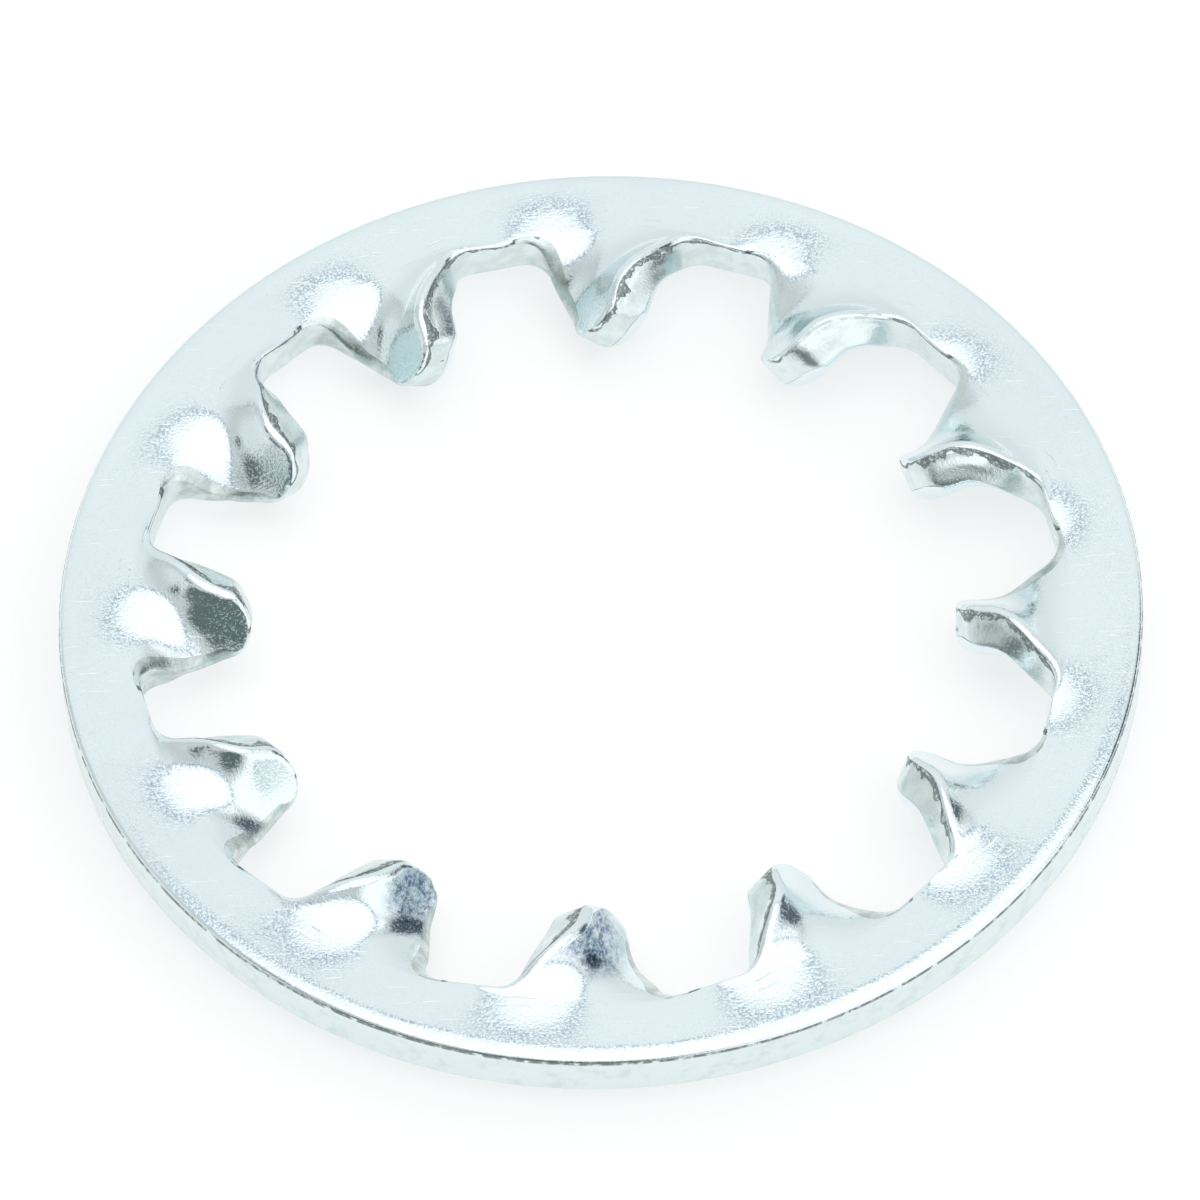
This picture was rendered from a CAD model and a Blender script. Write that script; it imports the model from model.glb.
from math import asin, atan2, cos, pi, radians, sin, sqrt, tan

import bmesh
import bpy
import numpy as np
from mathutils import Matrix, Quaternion, Vector


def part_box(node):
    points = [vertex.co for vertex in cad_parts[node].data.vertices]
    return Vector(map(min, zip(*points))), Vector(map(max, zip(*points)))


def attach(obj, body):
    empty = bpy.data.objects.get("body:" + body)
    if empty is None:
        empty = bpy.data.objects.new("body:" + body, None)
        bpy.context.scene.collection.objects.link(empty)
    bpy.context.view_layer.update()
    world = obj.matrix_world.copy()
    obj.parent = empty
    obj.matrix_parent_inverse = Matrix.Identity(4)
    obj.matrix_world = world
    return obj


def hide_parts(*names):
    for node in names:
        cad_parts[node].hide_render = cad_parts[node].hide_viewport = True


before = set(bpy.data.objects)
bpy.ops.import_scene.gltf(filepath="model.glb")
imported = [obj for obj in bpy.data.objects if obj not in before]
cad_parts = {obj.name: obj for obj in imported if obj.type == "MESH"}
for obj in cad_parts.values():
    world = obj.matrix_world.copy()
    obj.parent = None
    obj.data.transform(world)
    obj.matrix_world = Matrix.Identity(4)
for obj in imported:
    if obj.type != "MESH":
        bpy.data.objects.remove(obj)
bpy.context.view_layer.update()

# The internal-tooth lock washer, blanked from sheet steel, twisted and zinc
# plated.  Sizes are in millimetres and degrees, the mesh is in metres.
MM = 0.001
OUTER_RADIUS = 13.0
ROOT_RADIUS = 11.175  # floors of the gaps
TIP_RADIUS = 8.5
SHEET = 1.2
TOOTH_COUNT = 12
FIRST_TOOTH = 86.1  # degrees counter-clockwise from +X

TOOTH_ROOT_WIDTH = 3.663
FLANK_ANGLE = 22.92
ROOT_FILLET = 0.6
TIP_CROWN = 0.31
TIP_CORNER = 0.62

# The press doesn't form every tooth alike.  Counter-clockwise from the first:
# degrees of twist, and how much longer than the plain one a tooth is drawn.
TWISTS = (53, 56.1, 55.4, 52.9, 55.7, 55, 55.8, 51.2, 50.2, 50.1, 52.3, 51.2)
LENGTHS = (0.02, -0.01, 0.02, 0.1, 0, 0.02, 0, 0, 0.02, -0.03, 0.03, -0.02)
LENGTHS_START = 10.9  # radius from which they are drawn so
TWIST_START_RADIUS = 11.35
TWIST_END_RADIUS = 9.34  # no further twist inside this radius
TWISTED_SHARE = 0.7  # of the bearing from a tooth to the gap's middle: from here on the twist fades
PULL = 7.0  # degrees of the twist that reach on into the ring
PULL_END = 12.7  # radius where they have died away
DISH = 0.09  # the die dished the teeth: rise of their faces at 1 mm from the centre line
SINK = 0.05  # and the middle of the sheet lies this much under the axis of the twist

DROOP_START = 12.52  # the blanking die drew the outer upper edge down from here
DROOP = 11.0  # degrees that it falls away before the corner
RIM_CORNER = 0.15  # radius of the corner
RIM_LOOK = 0.36  # share of the corner's radius that still looks like the upper face
FOOT_EDGE = 0.04  # lower outer edge

# The punched edge round one tooth, from the middle of one gap floor to the next, at the ends
# of floor, fillet, flank, corner and half crown.  The standing side comes first.
# How far the outline lies outside the plain blank's:
FILLED = (0, 0, 0.04, 0.05, -0.02, 0.02, 0.03, -0.06, 0.05, -0.01, 0)
# The lower edge, which the punch drew up:
ROLL_WIDTH = (0.2, 0.1, 0.08, 0.42, 0.50, 0.50, 0.48, 0.38, 0.32, 0.33, 0.2)
ROLL_DEPTH = (0.15, 0.07, 0.07, 0.28, 0.50, 0.50, 0.43, 0.31, 0.32, 0.32, 0.15)
# The upper edge, pressed round or rubbed off:
EDGE_WIDTH = (0.05, 0.06, 0.28, 0.28, 0.16, 0.05, 0.06, 0.33, 0.40, 0.10, 0.05)
EDGE_DEPTH = (0.05, 0.06, 0.32, 0.32, 0.18, 0.12, 0.14, 0.19, 0.15, 0.07, 0.05)
# How far up over it the wall's dull look reaches, where 2 is rubbed:
DULLED = (0, 0, 0.15, 0.17, 0.08, 0, 0.8, 2, 2, 0, 0)
# How far it stands out over the wall's foot:
PROUD = (0.04, 0.04, -0.05, -0.05, 0, 0, 0, 0, -0.02, 0.01, 0.04)
PUNCH_OFF = 0.031  # the punch that tapered the hole so sat this much too near
TORN_DEPTH = 0.42  # how far down the torn part of the wall reaches
TORN_WAVER = 0.05  # unevenness of its lower end
EDGE_RIPPLE = 0.014  # fine unevenness of the upper edge's rounding
EDGE_SWELL = 0.09  # slow unevenness of it, as a share

# Rows down the wall: places in the torn part, and how much of PROUD each still has.
TORN_SHARES = (0.35, 0.75, 0.97, 1.03)
WALL_LEANS = (0.9, 0.75, 0.62, 0.58, 0.25, 0.0)

HALF_PITCH = pi / TOOTH_COUNT
HALF_SHEET = SHEET / 2
LEAN = radians(FLANK_ANGLE)
TOOTH_BEARINGS = radians(FIRST_TOOTH) + np.arange(TOOTH_COUNT) * 2 * HALF_PITCH

# Centre of the root fillet.
FLANK_OFFSET = (TOOTH_ROOT_WIDTH / 2 - ROOT_RADIUS * tan(LEAN)) * cos(LEAN)
FILLET_RADIUS = ROOT_RADIUS - ROOT_FILLET
FILLET_BEARING = LEAN + asin((FLANK_OFFSET + ROOT_FILLET) / FILLET_RADIUS)
FILLET_X = FILLET_RADIUS * cos(FILLET_BEARING)
FILLET_Y = FILLET_RADIUS * sin(FILLET_BEARING)

# Rows and columns of the grids.
ACROSS = 16  # columns from the tooth's centre line to its edge
CORNER_ROWS, FLANK_ROWS, FILLET_ROWS, FLOOR_ROWS, RING_ROWS = 7, 16, 10, 6, 14
PARTS = FLOOR_ROWS, FILLET_ROWS, FLANK_ROWS, CORNER_ROWS, ACROSS
HALF_PATH = sum(PARTS[:-1])
COLUMNS = 2 * (HALF_PATH + ACROSS) + 1
ROLL_ROWS = 8
SMOOTHING_REACH, SMOOTHING_WIDTH = 9, 4.0  # columns

# Marks in the wall map, for the plating: what isn't wall lies above it, and the rim's
# distance along starts behind the opening's.
ON_FACE = -1.0
ON_ROLL = -0.3
OPENING_END, RIM_START = 90.0, 100.0

# Bluish blooms: degrees from the first tooth, radius, then in metres the height over the
# middle of the sheet and the distances between which the bloom fades.
BLOOMS = ((180.5, 9.5, 0.0007, 0.0005, 0.0014), (153.0, 9.25, 0.0003, 0.0004, 0.0011))

FLOOR_SIZE = 3.0  # metres
FLOOR_GREY, FLOOR_GLOW = 0.48, 0.58

# The light tent: its own grey, then the patches on it, each over those before: colour, azimuth
# (0 is +Y, 90 is +X), elevation, radius, and width of its soft border, all in degrees.
TENT = (0.66, 0.67, 0.66)
TENT_PATCHES = (
    ((0.55, 0.60, 0.62), 0, 8, 60, 6),  # border of the far side
    ((0.83, 0.85, 0.85), 0, 8, 55, 8),  # far side
    ((0.945, 0.965, 0.965), 4, 62, 32, 40),  # and its brighter top
    ((0.80, 0.83, 0.82), -100, 10, 26, 16),  # left
    ((1.2, 1.2, 1.2), 128, 14, 34, 16),  # near right side
    ((1.15, 1.15, 1.15), 84, 46, 14, 12),  # and above it
    ((0.11, 0.135, 0.165), 71, 14, 15, 8),  # opening at the right
    ((0.13, 0.165, 0.16), -168, 17, 19, 9),  # opening on the camera's side
    ((0.14, 0.17, 0.17), -138, 15, 14, 8),  # and beside it
    ((0.14, 0.17, 0.17), -114, 37, 7, 5),  # small opening at the left
    ((0.27, 0.35, 0.45), 135, 79.4, 39.0, 1.5),  # seam round the roof
    ((1.28, 1.28, 1.28), 135, 79.4, 36.3, 1.5),  # roof
)

# The camera: 55 degrees above the sheet, a long lens.
VIEW_ELEVATION, VIEW_ROLL = 54.96, 2.61
VIEW_DISTANCE = 366.7 * MM
FRAME_PIXELS = 1200
PIXELS_PER_MM = 41.67
CENTRE_PIXEL = (600.94, 622.47)
SENSOR = 36  # millimetres

chance = np.random.default_rng(16)


def washer_height():
    """Height of the middle of the sheet over the hanging corners, from the solid's own box."""
    low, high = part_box("lock_washer")
    return (high[2] + low[2]) / 2


def tooth_edge():
    """Outline of half a tooth and half a gap in the flat blank, tooth along +X.

    The crown is an arc about a centre outside the tip, the corner an arc that
    touches crown and flank, the flank a straight line that leans in by
    LEAN, then the root fillet and the floor of the gap.  Returns the places
    from the end of the crown to the middle of the floor, each with the
    direction that points out of the steel, and the crown's centre, radius
    and half angle.
    """
    slope = tan(LEAN)
    chord = TOOTH_ROOT_WIDTH / 2 - (ROOT_RADIUS - TIP_RADIUS - TIP_CROWN) * slope
    crown_radius = (chord**2 + TIP_CROWN**2) / (2 * TIP_CROWN)
    crown_x = TIP_RADIUS + crown_radius
    level = TOOTH_ROOT_WIDTH / 2 - ROOT_RADIUS * slope - TIP_CORNER / cos(LEAN)
    a = 1 + slope**2
    b = 2 * (level * slope - crown_x)
    c = crown_x**2 + level**2 - (crown_radius - TIP_CORNER) ** 2
    corner_x = (-b - sqrt(b * b - 4 * a * c)) / (2 * a)
    corner_y = level + slope * corner_x
    crown_end = atan2(corner_y, corner_x - crown_x)
    flank_out = pi / 2 + LEAN

    turn = np.linspace(crown_end, flank_out, CORNER_ROWS + 1)[1:]
    corner = [
        corner_x + TIP_CORNER * np.cos(turn),
        corner_y + TIP_CORNER * np.sin(turn),
        np.cos(turn),
        np.sin(turn),
    ]
    fillet_start = FILLET_X + ROOT_FILLET * sin(LEAN)
    along = np.linspace(corner[0][-1], fillet_start, FLANK_ROWS + 1)[1:]
    flank = [
        along,
        TOOTH_ROOT_WIDTH / 2 - (ROOT_RADIUS - along) * slope,
        np.full_like(along, cos(flank_out)),
        np.full_like(along, sin(flank_out)),
    ]
    turn = np.linspace(LEAN - pi / 2, FILLET_BEARING, FILLET_ROWS + 1)[1:]
    fillet = [
        FILLET_X + ROOT_FILLET * np.cos(turn),
        FILLET_Y + ROOT_FILLET * np.sin(turn),
        -np.cos(turn),
        -np.sin(turn),
    ]
    turn = np.linspace(FILLET_BEARING, HALF_PITCH, FLOOR_ROWS + 1)[1:]
    floor = [
        ROOT_RADIUS * np.cos(turn),
        ROOT_RADIUS * np.sin(turn),
        -np.cos(turn),
        -np.sin(turn),
    ]
    edge = np.concatenate([corner, flank, fillet, floor], axis=1)
    return edge, (crown_x, crown_radius, pi - crown_end)


def bell(distance, width):
    """Bell-shaped weight of a distance, one over e at width."""
    return np.exp(-((distance / width) ** 2))


def along_path(values):
    """Values given at the ends of the path's parts, straight between them and then smoothed.

    The smoothing is a bell-shaped mean over a few columns.  At the path's
    ends it reaches on into the next teeth, which have the same values.
    """
    marks = np.cumsum([0, *PARTS, *PARTS[::-1]])
    column = np.arange(-SMOOTHING_REACH, COLUMNS + SMOOTHING_REACH)
    straight = np.interp(column % (COLUMNS - 1), marks, values)
    weight = bell(np.arange(-SMOOTHING_REACH, SMOOTHING_REACH + 1), SMOOTHING_WIDTH)
    return np.convolve(straight, weight / weight.sum(), "valid")


def opening_path(inset):
    """Path round every tooth, from the middle of one gap floor to the next.

    It is set back into the steel by inset, which may be one number or one for
    each place.
    """
    edge, (crown_x, crown_radius, half_angle) = tooth_edge()
    turn = pi - half_angle * np.linspace(-1, 1, 2 * ACROSS + 1)
    crown = np.array(
        [
            crown_x + crown_radius * np.cos(turn),
            crown_radius * np.sin(turn),
            np.cos(turn),
            np.sin(turn),
        ]
    )
    mirrored = edge[:, ::-1] * np.array([[1], [-1], [1], [-1]])
    path = np.concatenate([mirrored, crown, edge], axis=1)
    inset = np.broadcast_to(inset - along_path(FILLED), (TOOTH_COUNT, COLUMNS))
    return path[0] - inset * path[2], path[1] - inset * path[3]


def path_length():
    """Distance along the path of every tooth, going on from one tooth to the next."""
    x, y = opening_path(0.0)
    steps = np.hypot(np.diff(x[0]), np.diff(y[0]))
    along = np.concatenate([[0], np.cumsum(steps)])
    return along + along[-1] * np.arange(TOOTH_COUNT)[:, None]


def unevenness(reach):
    """Smooth random numbers along the whole opening, about 1 high and at most 2.

    White noise on the path's columns is averaged over reach columns with a
    bell-shaped weight, round and round the opening, so the numbers are alike
    where one tooth's path meets the next's.
    """
    count = TOOTH_COUNT * (COLUMNS - 1)
    distance = np.minimum(np.arange(count), count - np.arange(count))
    weight = np.fft.rfft(bell(distance, reach))
    smooth = np.fft.irfft(np.fft.rfft(chance.normal(size=count)) * weight, count)
    rows = (smooth / smooth.std()).reshape(TOOTH_COUNT, COLUMNS - 1)
    return np.clip(np.concatenate([rows, np.roll(rows[:, :1], -1, axis=0)], axis=1), -2, 2)


def eased(value, low, high):
    """0 up to low, 1 from high on, a cubic between; turned round where low is above high."""
    share = np.clip((value - low) / (high - low), 0, 1)
    return share * share * (3 - 2 * share)


def blank_rows(inset, rim):
    """Grid over each twelfth of the flat blank, from the tooth's tip to the radius rim.

    Row 0 follows the crown.  Every other row runs across from one edge to the
    other: its radius grows with the square of the column, its bearing in
    proportion to it.  Beyond the floor of the gap the rows end on the rays
    halfway between two teeth.
    """
    x, y = opening_path(inset)
    radius, bearing = np.hypot(x, y), np.abs(np.arctan2(y, x))
    column = np.linspace(-1, 1, 2 * ACROSS + 1)
    rows_radius, rows_bearing = [], []
    for half in (slice(HALF_PATH - 1, None, -1), slice(-HALF_PATH, None)):
        side_radius, side_bearing = radius[:, half], bearing[:, half]
        ring = np.linspace(side_radius[:, -1], rim, RING_ROWS + 1, axis=1)[:, 1:]
        rows_radius.append(np.concatenate([side_radius, ring], axis=1))
        rows_bearing.append(np.concatenate([side_bearing, np.full_like(ring, HALF_PITCH)], axis=1))
    left = (column < 0)[None, None, :]
    side_radius = np.where(left, rows_radius[0][..., None], rows_radius[1][..., None])
    side_bearing = np.where(left, rows_bearing[0][..., None], rows_bearing[1][..., None])
    flank_end = CORNER_ROWS + FLANK_ROWS
    marks = [0, CORNER_ROWS, flank_end, flank_end + FILLET_ROWS, HALF_PATH, HALF_PATH + RING_ROWS]
    # Where the rows at those marks cross the centre line, the first just outside every tip.
    tip = radius[:, HALF_PATH + ACROSS].max()
    places = [
        tip + 0.04,
        max(TIP_RADIUS + 0.55, tip + 0.2),
        FILLET_X + 0.15,
        ROOT_RADIUS + 0.15,
        ROOT_RADIUS + 0.40,
        rim,
    ]
    middle = np.interp(np.arange(1, HALF_PATH + RING_ROWS + 1), marks, places)[None, :, None]
    row_radius = middle + (side_radius - middle) * column**2
    row_bearing = side_bearing * column
    crown = slice(HALF_PATH, HALF_PATH + 2 * ACROSS + 1)
    grid_x = np.concatenate([x[:, None, crown], row_radius * np.cos(row_bearing)], axis=1)
    grid_y = np.concatenate([y[:, None, crown], row_radius * np.sin(row_bearing)], axis=1)
    return grid_x, grid_y


def formed(x, y, height):
    """Places in the formed sheet of points on the flat blank, at height over its middle.

    Each tooth is first drawn to its own length, by a share that grows inwards
    with a square.  Then it is turned about its centre line, with the clockwise
    side up.  The turn grows inwards between the two twist radii, eased at both
    ends by a cubic.  PULL degrees of it reach on into the ring: there they die
    away with the square of the distance from PULL_END, and towards the next
    tooth they die away as the sine of twelve times the bearing, over that
    angle.  With the same ease the sheet sinks under the axis and is dished
    with the square of the distance from the centre line.  The middle of a gap
    floor stays flat.
    """
    radius, bearing = np.hypot(x, y), np.arctan2(y, x)
    shape = (TOOTH_COUNT,) + (1,) * (np.ndim(x) - 1)
    drawn = np.clip((LENGTHS_START - radius) / (LENGTHS_START - TIP_RADIUS), 0, 1) ** 2
    x = x - np.reshape(LENGTHS, shape) * drawn
    aside = eased(np.abs(bearing), HALF_PITCH, TWISTED_SHARE * HALF_PITCH)
    ease = eased(radius, TWIST_START_RADIUS, TWIST_END_RADIUS) * aside
    reach = np.clip((PULL_END - radius) / (PULL_END - ROOT_RADIUS), 0, 1) ** 2
    across = np.sinc(bearing / HALF_PITCH)
    twist = np.radians(TWISTS).reshape(shape)
    turn = radians(PULL) * reach * across + (twist - radians(PULL)) * ease
    height = height + (DISH * y**2 - SINK) * ease
    side = y * np.cos(turn) + height * np.sin(turn)
    up = -y * np.sin(turn) + height * np.cos(turn)
    place = TOOTH_BEARINGS.reshape(shape)
    return np.stack(
        [x * np.cos(place) - side * np.sin(place), x * np.sin(place) + side * np.cos(place), up],
        axis=-1,
    )


def upper_edge():
    """The upper edge of the opening: width and depth of its rounding, and how far it stands proud.

    The rounding is a little uneven.  On the gap floors the edge stands proud
    by PROUD's first value, and by up to PUNCH_OFF more or less with the sine
    of the place round the washer, and elsewhere in proportion.
    """
    fine, slow = EDGE_RIPPLE * unevenness(1.6), 1 + EDGE_SWELL * unevenness(6)
    width = along_path(EDGE_WIDTH) * slow + fine
    depth = along_path(EDGE_DEPTH) * slow + EDGE_RIPPLE * unevenness(1.6)
    x, y = opening_path(0.0)
    place = np.arctan2(y, x) + TOOTH_BEARINGS[:, None]
    share = along_path(PROUD) / PROUD[0]
    return width, depth, (PROUD[0] + PUNCH_OFF * np.sin(place)) * share


def lower_edge():
    """Width and depth of the drawn-up lower edge."""
    every_tooth = np.zeros((TOOTH_COUNT, 1))
    return along_path(ROLL_WIDTH) + every_tooth, along_path(ROLL_DEPTH) + every_tooth


def cut_profile(width, depth, proud, roll_width, roll_depth):
    """Section of the punched edge: rounded top, torn part, sheared part, and the edge drawn up.

    Returns setback and height, rows by teeth by columns.  The wall leans out
    towards its top.  The torn part ends at an uneven line.
    """
    turn = np.linspace(0, pi / 2, 6)[:, None, None]
    top = [width * (1 - np.sin(turn)) - proud, HALF_SHEET - depth * (1 - np.cos(turn))]
    torn_to = HALF_SHEET - TORN_DEPTH + TORN_WAVER * unevenness(4)
    share = np.reshape(TORN_SHARES, (-1, 1, 1))
    torn = HALF_SHEET - depth + share * (torn_to - HALF_SHEET + depth)
    lean = np.reshape(WALL_LEANS, (-1, 1, 1))
    foot = -HALF_SHEET + roll_depth
    wall = [0.5 * (torn[-1] + foot), foot + 0.1]
    turn = np.linspace(0, pi / 2, ROLL_ROWS)[:, None, None]
    roll = [roll_width * (1 - np.cos(turn)), -HALF_SHEET + roll_depth * (1 - np.sin(turn))]
    setback = np.concatenate([top[0], -proud * lean, roll[0]])
    height = np.concatenate([top[1], torn, np.stack(wall), roll[1]])
    return setback, height


def rim_profile():
    """Section of the outside, radius and height: droop, corner, wall and lower edge.

    The droop's slope grows in proportion to the distance from DROOP_START, up
    to DROOP degrees, where the corner's arc takes over.
    """
    droop = radians(DROOP)
    corner_start = OUTER_RADIUS - RIM_CORNER * (1 - sin(droop))
    share = np.linspace(0, 1, 7)
    span = corner_start - DROOP_START
    fall = 0.5 * span * tan(droop)
    roll = [DROOP_START + span * share, HALF_SHEET - fall * share**2]
    turn = np.linspace(droop, pi / 2, 9)[1:]
    corner = [
        OUTER_RADIUS - RIM_CORNER * (1 - np.sin(turn)),
        HALF_SHEET - fall - RIM_CORNER * (cos(droop) - np.cos(turn)),
    ]
    wall_height = np.linspace(corner[1][-1], -HALF_SHEET + FOOT_EDGE, 6)[1:-1]
    wall = [np.full_like(wall_height, OUTER_RADIUS), wall_height]
    turn = np.linspace(0, pi / 2, 4)
    foot = [
        OUTER_RADIUS - FOOT_EDGE * (1 - np.cos(turn)),
        -HALF_SHEET + FOOT_EDGE * (1 - np.sin(turn)),
    ]
    return np.concatenate([roll, corner, wall, foot], axis=1)


def washer_patches():
    """The grids that close the washer: upper face, lower face, punched edge and rim.

    Each comes with whether to turn it over, its place on the wall and its
    place on the flat blank, tooth along +X.  The place on the wall is the
    distance along it and the depth under the upper edge's rounding, negative
    on the rounding and raised by DULLED, or else ON_FACE or ON_ROLL.
    """
    width, depth, proud = upper_edge()
    roll_width, roll_depth = lower_edge()
    patches = []
    for inset, rim, height, flip in (
        (width - proud, DROOP_START, HALF_SHEET, False),
        (roll_width, OUTER_RADIUS - FOOT_EDGE, -HALF_SHEET, True),
    ):
        x, y = blank_rows(inset, rim)
        wall = np.stack([np.zeros_like(x), np.full_like(x, ON_FACE)], axis=-1)
        patches.append((formed(x, y, height), flip, wall, np.stack([x, y], axis=-1)))

    setback, height = cut_profile(width, depth, proud, roll_width, roll_depth)
    x, y = np.stack([opening_path(row) for row in setback], axis=2)
    height = height.swapaxes(0, 1)
    along = np.broadcast_to(path_length()[:, None, :], x.shape)
    under = (HALF_SHEET - depth)[:, None, :] - height + along_path(DULLED)
    wall = np.stack([along, under], axis=-1)
    wall[:, 1 - ROLL_ROWS :, :, 1] = ON_ROLL
    patches.append((formed(x, y, height), True, wall, np.stack([x, y], axis=-1)))

    radius, height = rim_profile()
    bearing = np.linspace(-1, 1, 2 * ACROSS + 1) * HALF_PITCH
    shape = (TOOTH_COUNT, len(radius), len(bearing))
    x = np.broadcast_to(radius[:, None] * np.cos(bearing), shape)
    y = np.broadcast_to(radius[:, None] * np.sin(bearing), shape)
    height = np.broadcast_to(height[:, None], shape)
    turned = np.arange(TOOTH_COUNT)[:, None, None] * 2 * HALF_PITCH
    along = np.broadcast_to(RIM_START + OUTER_RADIUS * (bearing + turned), shape)
    drooped = 0.5 * (OUTER_RADIUS - DROOP_START) * tan(radians(DROOP))
    wall_top = HALF_SHEET - drooped - RIM_LOOK * RIM_CORNER
    wall = np.stack([along, wall_top - height], axis=-1)
    patches.append((formed(x, y, height), False, wall, np.stack([x, y], axis=-1)))
    return patches


def grid_faces(patch, start, flip):
    """Quads of every tooth's grid, numbered from start; flip turns them over."""
    teeth, rows, columns = patch.shape[:3]
    number = start + np.arange(teeth * rows * columns).reshape(teeth, rows, columns)
    quads = np.stack(
        [number[:, :-1, :-1], number[:, 1:, :-1], number[:, 1:, 1:], number[:, :-1, 1:]],
        axis=-1,
    ).reshape(-1, 4)
    return quads[:, ::-1] if flip else quads


def washer_mesh(name):
    """Puts the patches into one mesh, joined where they meet, with their places as UV maps."""
    points, faces, walls, blanks, start = [], [], [], [], 0
    for patch, flip, wall, blank in washer_patches():
        points.append(patch.reshape(-1, 3))
        walls.append(wall.reshape(-1, 2))
        blanks.append(blank.reshape(-1, 2))
        faces.append(grid_faces(patch, start, flip))
        start += points[-1].shape[0]
    points = np.concatenate(points) * MM
    points[:, 2] += washer_height()
    faces = np.concatenate(faces)
    mesh = bpy.data.meshes.new(name)
    mesh.from_pydata(points.tolist(), [], faces.tolist())
    for layer, places in (("wall", walls), ("blank", blanks)):
        places = np.concatenate(places)[faces.ravel()]
        mesh.uv_layers.new(name=layer).uv.foreach_set("vector", places.astype(np.float32).ravel())
    joined = bmesh.new()
    joined.from_mesh(mesh)
    bmesh.ops.remove_doubles(joined, verts=joined.verts, dist=1e-8)
    joined.to_mesh(mesh)
    joined.free()
    mesh.polygons.foreach_set("use_smooth", np.ones(len(mesh.polygons), bool))
    mesh.update()
    return mesh


def add(tree, kind, **settings):
    """Adds a node; settings are its own values, or names of its inputs."""
    node = tree.nodes.new(kind)
    for name, value in settings.items():
        if hasattr(node, name):
            setattr(node, name, value)
        else:
            node.inputs[name.replace("_", " ").title()].default_value = value
    return node


def join(tree, value, socket):
    """Links a socket, or sets a plain number."""
    if hasattr(value, "links"):
        tree.links.new(value, socket)
    else:
        socket.default_value = value


def calc(tree, operation, first, second=None):
    """One step of arithmetic on sockets or plain numbers."""
    node = add(tree, "ShaderNodeMath", operation=operation)
    join(tree, first, node.inputs[0])
    if second is not None:
        join(tree, second, node.inputs[1])
    return node.outputs["Value"]


def plus(tree, first, second):
    """Sum of two."""
    return calc(tree, "ADD", first, second)


def minus(tree, first, second):
    """First less second."""
    return calc(tree, "SUBTRACT", first, second)


def times(tree, first, *others):
    """Product, worked out from left to right."""
    for other in others:
        first = calc(tree, "MULTIPLY", first, other)
    return first


def largest(tree, values):
    """The largest of some values."""
    first, *others = values
    for other in others:
        first = calc(tree, "MAXIMUM", first, other)
    return first


def away(tree, value, level):
    """How far value is from level, either way."""
    return calc(tree, "ABSOLUTE", minus(tree, value, level))


def measure(tree, operation, vector, other=None):
    """Length of a vector, or its distance from or dot product with three plain numbers."""
    node = add(tree, "ShaderNodeVectorMath", operation=operation)
    tree.links.new(vector, node.inputs[0])
    if other is not None:
        node.inputs[1].default_value = other
    return node.outputs["Value"]


def parts_of(tree, vector):
    """First and second coordinate of a place."""
    node = add(tree, "ShaderNodeSeparateXYZ")
    tree.links.new(vector, node.inputs[0])
    return node.outputs["X"], node.outputs["Y"]


def ramp(tree, value, low, high, bottom=0.0, top=1.0):
    """Eases from bottom to top while value goes from low to high."""
    node = add(tree, "ShaderNodeMapRange", interpolation_type="SMOOTHSTEP")
    join(tree, value, node.inputs["Value"])
    limits = {"From Min": low, "From Max": high, "To Min": bottom, "To Max": top}
    for name, number in limits.items():
        node.inputs[name].default_value = number
    return node.outputs["Result"]


def noise(tree, place, scale, detail=2.0, roughness=0.5):
    """Value of a noise about scale times finer than a metre (or than the unit of place)."""
    node = add(tree, "ShaderNodeTexNoise", scale=scale, detail=detail, roughness=roughness)
    tree.links.new(place, node.inputs["Vector"])
    return node.outputs["Fac"]


def squeezed(tree, place, turn, scale):
    """The place turned about z and stretched, for streaks."""
    node = add(tree, "ShaderNodeMapping")
    node.inputs["Rotation"].default_value = (0, 0, radians(turn))
    node.inputs["Scale"].default_value = scale
    tree.links.new(place, node.inputs["Vector"])
    return node.outputs["Vector"]


def blend(tree, share, first, second):
    """Mixes two colours by share, each a socket or plain numbers."""
    node = add(tree, "ShaderNodeMix", data_type="RGBA")
    join(tree, share, node.inputs["Factor"])
    for name, colour in (("A", first), ("B", second)):
        join(tree, colour if hasattr(colour, "links") else (*colour, 1), node.inputs[name])
    return node.outputs["Result"]


def scratch_lines(tree, place):
    """1 on short fine scratches in three directions: the rare crests of drawn-out noises."""
    lines = []
    for turn, rarity in ((24, 0.735), (-51, 0.75), (83, 0.745)):
        streaks = noise(tree, squeezed(tree, place, turn, (900, 16000, 900)), 1.0, 1.0, 0.4)
        lines.append(ramp(tree, streaks, rarity, rarity + 0.05))
    return largest(tree, lines)


def die_marks(tree, place, radius, aside):
    """1 in two short broken grooves that the twisting die left across each standing root."""
    wander = times(tree, minus(tree, noise(tree, place, 700.0, 1.0), 0.5), 0.45)
    track = plus(tree, radius, wander)
    grooves = [
        ramp(tree, away(tree, track, where), 0.0, width, 1.0, 0.0)
        for where, width in ((11.36, 0.045), (11.62, 0.035))
    ]
    from_flank = ramp(tree, aside, -2.1, -1.7)
    to_middle = ramp(tree, aside, -0.9, -0.5, 1.0, 0.0)
    broken = ramp(tree, noise(tree, place, 1500.0, 2.0), 0.48, 0.58)
    return times(tree, largest(tree, grooves), times(tree, from_flank, to_middle), broken)


def torn_end(tree, wall, standing):
    """Depth at which the torn band ends: uneven, and deeper on the standing sides."""
    uneven = noise(tree, squeezed(tree, wall, 0, (1.9, 0, 1)), 1.0, 3.0, 0.55)
    reach = plus(tree, 0.10, times(tree, standing, 0.22))
    return plus(tree, 0.02, times(tree, ramp(tree, uneven, 0.36, 0.66), reach))


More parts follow.
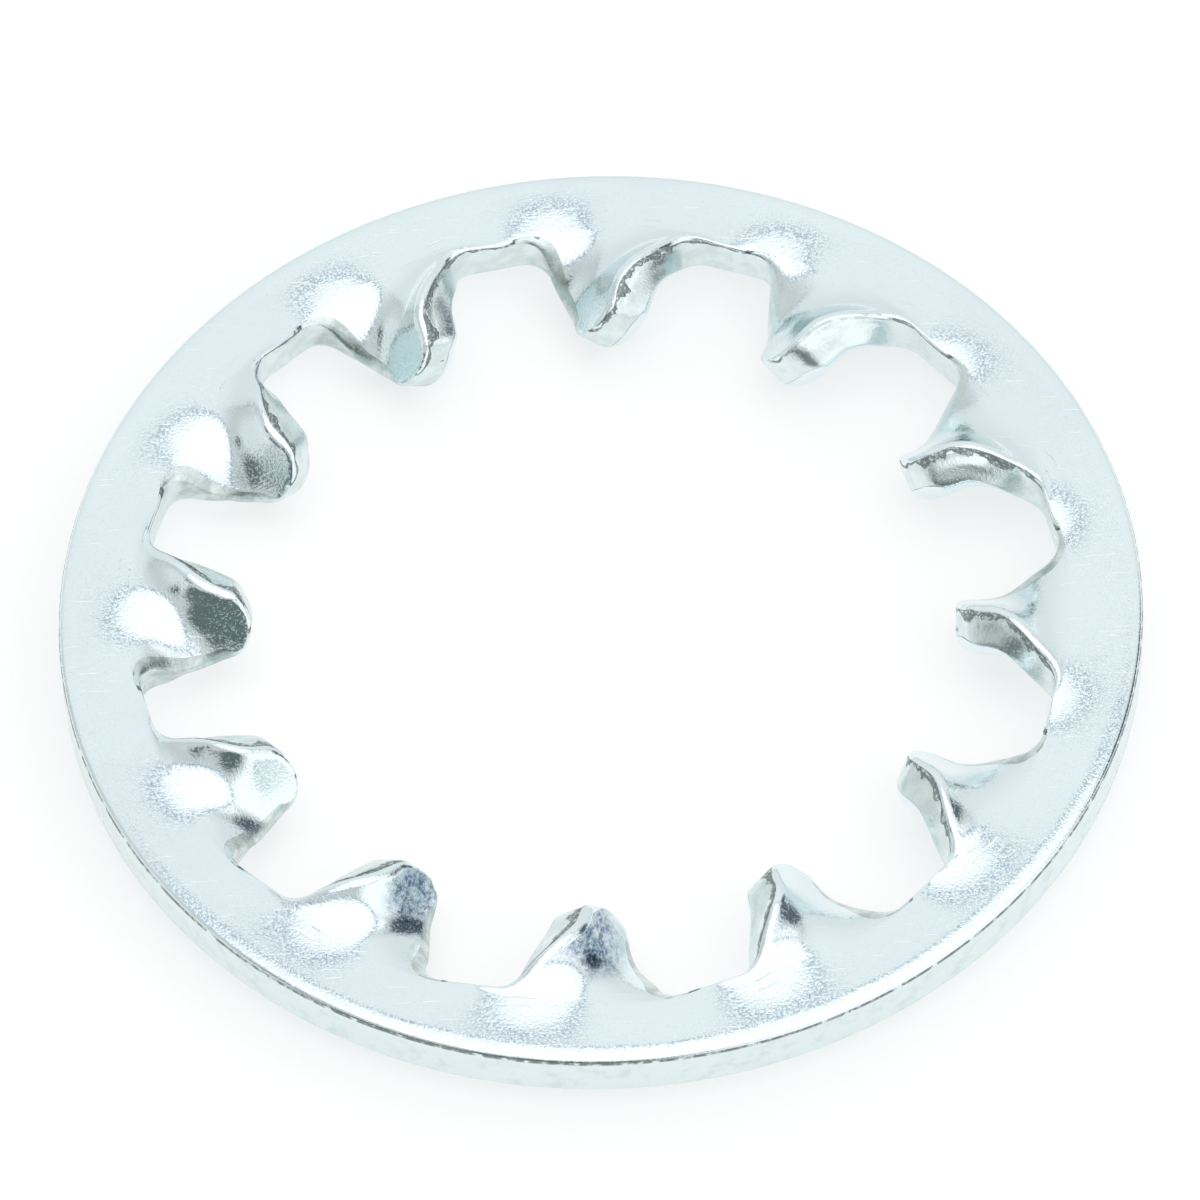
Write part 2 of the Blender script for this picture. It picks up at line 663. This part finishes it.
def crack_line(tree, wall, depth, torn_to, inner, outer):
    """1 on a thin broken line: where the torn band ends, and outside just under the edge."""
    line = plus(tree, times(tree, torn_to, inner), times(tree, outer, 0.03))
    narrowed = plus(tree, 0.55, times(tree, inner, 0.45))
    off = times(tree, away(tree, depth, line), narrowed)
    broken = ramp(tree, noise(tree, wall, 2.6, 4.0, 0.65), 0.38, 0.54)
    return times(tree, ramp(tree, off, 0.012, 0.034, 1.0, 0.0), broken)


def blue_bloom(tree, place):
    """Patchy 0 to 1 on the ends of two teeth, easing off with the distance from a point on each."""
    spots = []
    for turn, radius, lift, near, far in BLOOMS:
        bearing = radians(FIRST_TOOTH + turn)
        middle = (radius * cos(bearing) * MM, radius * sin(bearing) * MM, washer_height() + lift)
        spots.append(ramp(tree, measure(tree, "DISTANCE", place, middle), near, far, 1.0, 0.0))
    fine = ramp(tree, noise(tree, place, 9000.0, 3.0, 0.7), 0.40, 0.60, 0.45, 1.0)
    coarse = ramp(tree, noise(tree, place, 2600.0, 2.0, 0.6), 0.36, 0.56, 0.55, 1.0)
    return times(tree, largest(tree, spots), times(tree, fine, coarse))


def zinc_plate():
    """Bright zinc plating on pressed steel.

    The faces are bright, with a fine satin grain, a little waviness, short
    scratches, the marks of the twisting die beside the roots, and a bluish
    bloom on the ends of two teeth.  The punched walls are duller and greener,
    with faint streaks down through the sheet, a narrow dark pitted band under
    their upper edge, which is missing on the outside, and a thin dark line.
    Where the edges of the teeth were rubbed, they are duller still.
    """
    material = bpy.data.materials.new("zinc_plate")
    material.use_nodes = True
    tree = material.node_tree
    shader = tree.nodes["Principled BSDF"]
    shader.inputs["Metallic"].default_value = 1
    place = add(tree, "ShaderNodeTexCoord").outputs["Object"]
    wall = add(tree, "ShaderNodeUVMap", uv_map="wall").outputs["UV"]
    blank = add(tree, "ShaderNodeUVMap", uv_map="blank").outputs["UV"]
    along, depth = parts_of(tree, wall)
    aside = parts_of(tree, blank)[1]
    radius = measure(tree, "LENGTH", blank)
    on_wall = calc(tree, "GREATER_THAN", depth, 0.0)
    on_face = calc(tree, "LESS_THAN", depth, 0.5 * ON_FACE)
    inner = calc(tree, "LESS_THAN", along, OPENING_END)
    outer = minus(tree, 1.0, inner)
    standing_flank = ramp(tree, aside, -0.9, -0.4, 1.0, 0.0)
    standing = times(tree, standing_flank, ramp(tree, radius, 10.6, 11.1, 1.0, 0.0))

    scratches = scratch_lines(tree, place)
    streaks = noise(tree, squeezed(tree, wall, 0, (14.0, 1.6, 1.0)), 1.0, 3.0, 0.6)
    torn_to = torn_end(tree, wall, standing)
    torn = times(tree, ramp(tree, minus(tree, torn_to, depth), -0.01, 0.02), inner)
    pits = noise(tree, wall, 11.0, 3.0, 0.7)
    crack = crack_line(tree, wall, depth, torn_to, inner, outer)

    # Heights in metres.
    grain = noise(tree, place, 15000.0, 2.5, 0.6)
    waves = noise(tree, place, 1500.0, 1.0, 0.4)
    height = times(tree, grain, 2.4e-6)
    height = plus(tree, height, times(tree, ramp(tree, grain, 0.50, 0.75), 1.9e-6))
    height = plus(tree, height, times(tree, waves, 4e-6))
    height = minus(tree, height, times(tree, scratches, 1.4e-6))
    marks = times(tree, die_marks(tree, place, radius, aside), on_face)
    height = minus(tree, height, times(tree, marks, 5e-6))
    rough_wall = plus(tree, times(tree, streaks, 3e-6), times(tree, pits, torn, 3.0e-5))
    rough_wall = minus(tree, rough_wall, times(tree, crack, 8e-6))
    height = plus(tree, height, times(tree, rough_wall, on_wall))
    bump = add(tree, "ShaderNodeBump", distance=1.0)
    tree.links.new(height, bump.inputs["Height"])
    tree.links.new(bump.outputs["Normal"], shader.inputs["Normal"])

    # Colours: the faces, then the walls with what was rubbed, the torn band and the line.
    clouds = ramp(tree, noise(tree, place, 260.0, 3.0, 0.55), 0.35, 0.65)
    face = blend(tree, clouds, (0.79, 0.885, 0.915), (0.81, 0.91, 0.93))
    face = blend(tree, times(tree, scratches, 0.6), face, (0.93, 0.96, 0.97))
    mottle = plus(tree, noise(tree, place, 2200.0, 3.0, 0.6), times(tree, outer, 0.12))
    dull = blend(tree, ramp(tree, mottle, 0.35, 0.66), (0.68, 0.77, 0.765), (0.775, 0.87, 0.875))
    worn = blend(tree, ramp(tree, mottle, 0.38, 0.62), (0.48, 0.56, 0.54), (0.68, 0.76, 0.74))
    dull = blend(tree, times(tree, ramp(tree, depth, 0.9, 1.5), inner), dull, worn)
    pitted = times(tree, ramp(tree, pits, 0.66, 0.48), times(tree, torn, 0.88))
    dull = blend(tree, pitted, dull, (0.16, 0.20, 0.20))
    line = times(tree, crack, minus(tree, 0.85, times(tree, standing, 0.5)))
    dull = blend(tree, line, dull, (0.13, 0.14, 0.13))
    colour = blend(tree, on_wall, face, dull)
    colour = blend(tree, times(tree, blue_bloom(tree, place), on_face), colour, (0.11, 0.175, 0.29))
    tree.links.new(colour, shader.inputs["Base Color"])

    polish = ramp(tree, noise(tree, place, 1900.0, 3.0, 0.6), 0.3, 0.7, 0.05, 0.10)
    wall_rough = plus(tree, 0.16, times(tree, torn, 0.06))
    rough = plus(tree, polish, times(tree, on_wall, wall_rough))
    tree.links.new(rough, shader.inputs["Roughness"])
    return material


def place_washer():
    """Adds the washer as one mesh in place of the solid."""
    mesh = washer_mesh("washer_mesh")
    washer = bpy.data.objects.new("washer", mesh)
    bpy.context.scene.collection.objects.link(washer)
    mesh.materials.append(zinc_plate())
    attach(washer, "root")
    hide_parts("lock_washer")


def pale_floor():
    """A plain white floor.  Over half of its white is its own glow, which softens the shadow."""
    size = FLOOR_SIZE / 2
    corners = [(-size, -size, 0), (size, -size, 0), (size, size, 0), (-size, size, 0)]
    mesh = bpy.data.meshes.new("floor_mesh")
    mesh.from_pydata(corners, [], [(0, 1, 2, 3)])
    floor = bpy.data.objects.new("floor", mesh)
    bpy.context.scene.collection.objects.link(floor)
    material = bpy.data.materials.new("floor_white")
    material.use_nodes = True
    shader = material.node_tree.nodes["Principled BSDF"]
    shader.inputs["Base Color"].default_value = (FLOOR_GREY, FLOOR_GREY, FLOOR_GREY, 1)
    shader.inputs["Roughness"].default_value = 1
    shader.inputs["Specular IOR Level"].default_value = 0
    shader.inputs["Emission Color"].default_value = (1, 1, 1, 1)
    shader.inputs["Emission Strength"].default_value = FLOOR_GLOW
    mesh.materials.append(material)


def studio():
    """A white light tent round the washer, painted from round patches that lie over each other.

    The roof is bright, with a grey-blue seam round it.  The far side is pale,
    with a darker border, the left is a little duller and the near right side
    bright.  Small dark openings lie at the right, on the camera's side and at
    the left.
    """
    world = bpy.data.worlds.new("studio")
    world.use_nodes = True
    tree = world.node_tree
    way = add(tree, "ShaderNodeTexCoord").outputs["Generated"]

    def cap(azimuth, elevation, radius, soft):
        """1 within radius degrees of a direction, falling to 0 over soft degrees."""
        a, e = radians(azimuth), radians(elevation)
        dot = measure(tree, "DOT_PRODUCT", way, (sin(a) * cos(e), cos(a) * cos(e), sin(e)))
        angle = calc(tree, "ARCCOSINE", calc(tree, "MINIMUM", dot, 0.99999))
        return ramp(tree, angle, radians(radius - soft / 2), radians(radius + soft / 2), 1, 0)

    colour = TENT
    for level, *patch in TENT_PATCHES:
        colour = blend(tree, cap(*patch), colour, level)
    tree.links.new(colour, tree.nodes["Background"].inputs["Color"])
    bpy.context.scene.world = world


def place_camera():
    """Aims the camera so that the washer's middle falls on CENTRE_PIXEL of the square frame."""
    camera = bpy.data.objects.new("camera", bpy.data.cameras.new("camera"))
    bpy.context.scene.collection.objects.link(camera)
    elevation = radians(VIEW_ELEVATION)
    back = Vector((0, -cos(elevation), sin(elevation)))
    middle = Vector((0, 0, washer_height()))
    camera.rotation_mode = "QUATERNION"
    turned = (-back).to_track_quat("-Z", "Y") @ Quaternion((0, 0, 1), -radians(VIEW_ROLL))
    camera.rotation_quaternion = turned
    half = FRAME_PIXELS // 2
    offset = Vector((half - CENTRE_PIXEL[0], CENTRE_PIXEL[1] - half, 0)) / PIXELS_PER_MM * MM
    camera.location = middle + back * VIEW_DISTANCE + turned @ offset
    camera.data.sensor_width = SENSOR
    camera.data.lens = PIXELS_PER_MM * VIEW_DISTANCE / MM / FRAME_PIXELS * SENSOR
    camera.data.clip_start, camera.data.clip_end = 0.01, 10
    bpy.context.scene.camera = camera


place_washer()
pale_floor()
studio()
place_camera()
bpy.context.scene.view_settings.view_transform = "Standard"
